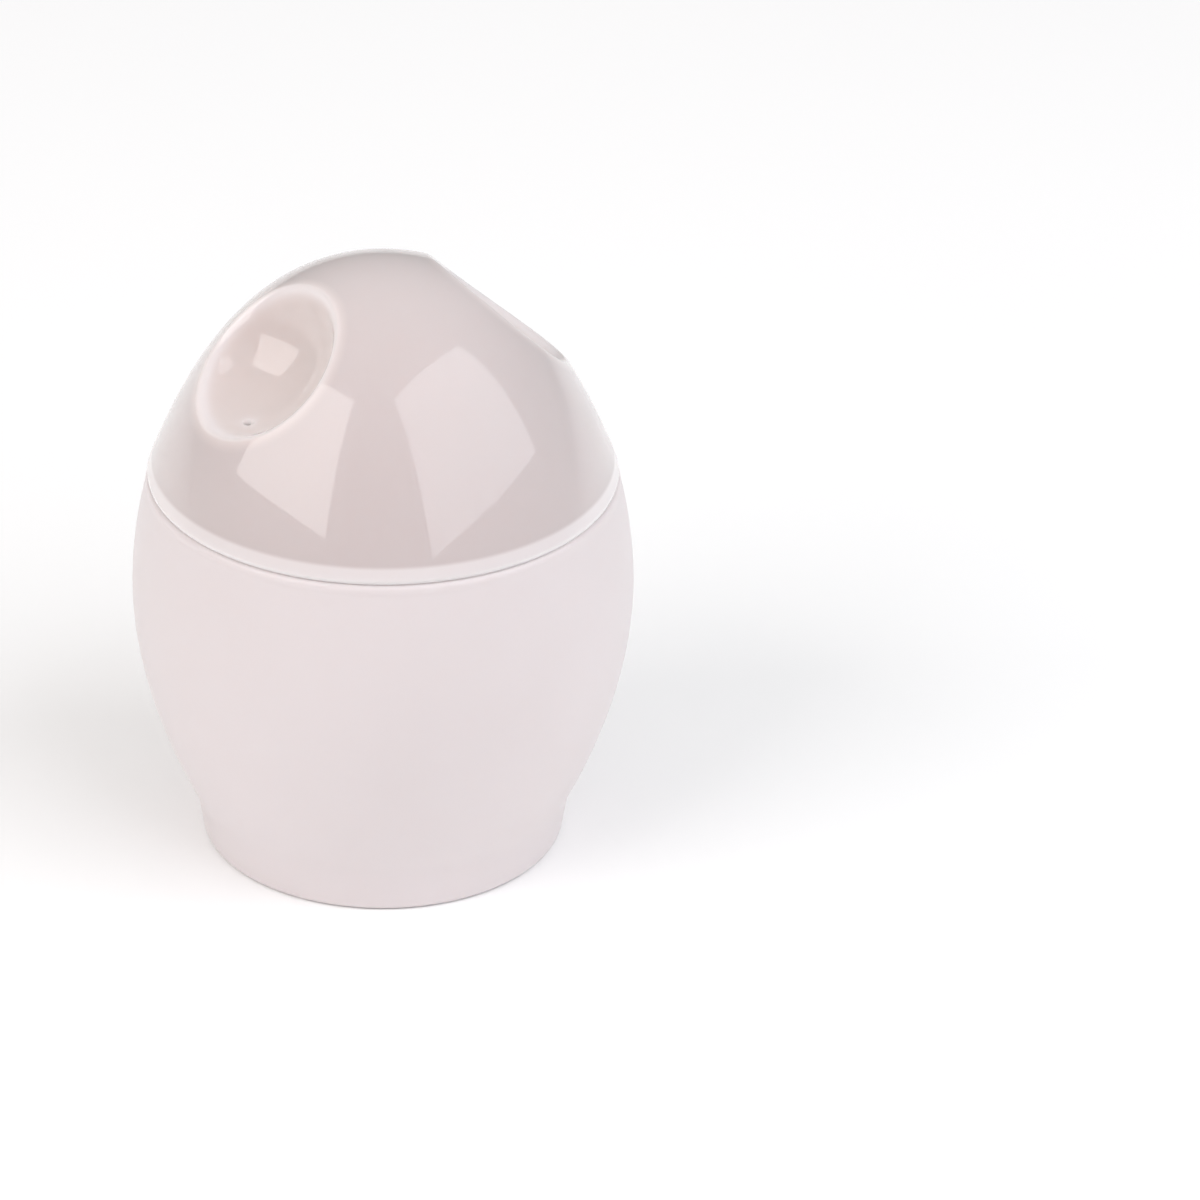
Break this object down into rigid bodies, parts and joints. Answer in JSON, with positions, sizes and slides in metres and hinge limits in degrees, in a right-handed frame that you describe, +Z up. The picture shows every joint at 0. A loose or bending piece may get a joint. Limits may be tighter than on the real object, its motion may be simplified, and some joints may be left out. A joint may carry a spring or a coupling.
{
  "type": "microwave egg cooker",
  "caption": "Egg-shaped microwave egg cooker: a round-bellied cup on a ring foot under a milky domed lid with finger dimples, which lifts straight off.",
  "frame": {"origin": "centre of the foot ring, on the surface that the cup stands on", "axes": "+Z up along the axis of the cup; the lid's two finger dimples face +X and -X"},
  "size_m": [0.075, 0.075, 0.0931],
  "materials": {
    "cup_plastic": "white polypropylene, satin moulded",
    "lid_plastic": "milky natural polypropylene, polished moulded"
  },
  "bodies": {
    "cup": {"cup": "cup_plastic"},
    "lid": {"lid": "lid_plastic"}
  },
  "joints": [
    {"name": "lid_lift", "type": "slide", "parent": "cup", "child": "lid", "axis": [0, 0, 1], "range_m": [0, 0.06]}
  ]
}
